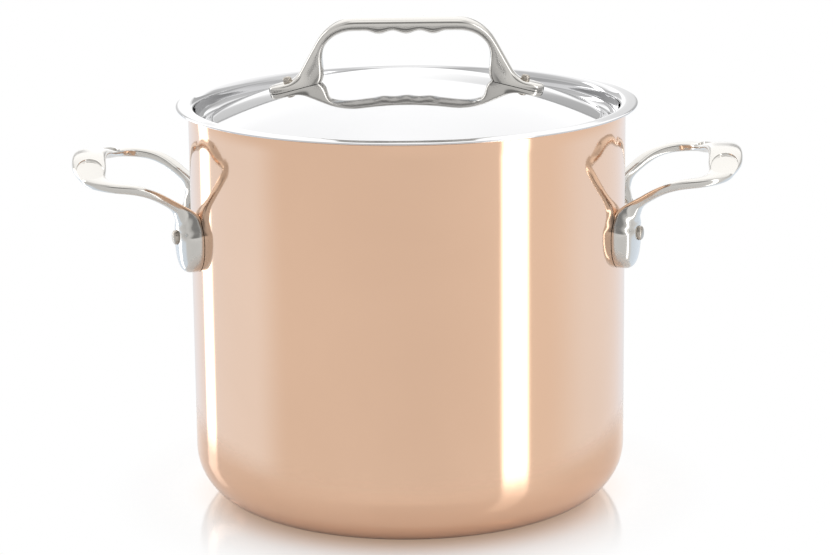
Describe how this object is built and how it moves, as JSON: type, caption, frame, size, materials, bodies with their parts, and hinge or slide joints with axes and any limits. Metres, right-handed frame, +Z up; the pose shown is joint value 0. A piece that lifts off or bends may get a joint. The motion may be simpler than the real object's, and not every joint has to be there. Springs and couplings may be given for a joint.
{
  "type": "stockpot with lid",
  "caption": "Tall copper stockpot with a steel lining, looped cast side handles and a recessed steel lid with a waved cast handle.",
  "frame": {"origin": "middle of the pot's flat base, on the surface that it stands on", "axes": "+Z up along the pot's axis, +X towards the right side handle, with the lid handle along X"},
  "size_m": [0.375, 0.2578, 0.2722],
  "materials": {
    "copper": "polished copper, pale and slightly satin",
    "lining_steel": "brushed stainless steel",
    "lid_steel": "mirror-polished stainless steel",
    "cast_steel": "polished cast stainless steel",
    "rivet_steel": "satin stainless steel"
  },
  "bodies": {
    "pot": {"copper_shell": "copper", "steel_lining": "lining_steel", "side_handle_right": "cast_steel", "side_handle_left": "cast_steel", "side_rivet_right_back": "rivet_steel", "side_rivet_right_front": "rivet_steel", "side_rivet_left_back": "rivet_steel", "side_rivet_left_front": "rivet_steel"},
    "lid": {"lid": "lid_steel", "lid_handle": "cast_steel", "lid_rivet_right": "rivet_steel", "lid_rivet_left": "rivet_steel"}
  },
  "joints": [
    {"name": "lid_lift", "type": "slide", "parent": "pot", "child": "lid", "axis": [0, 0, 1], "range_m": [0, 0.15]}
  ]
}
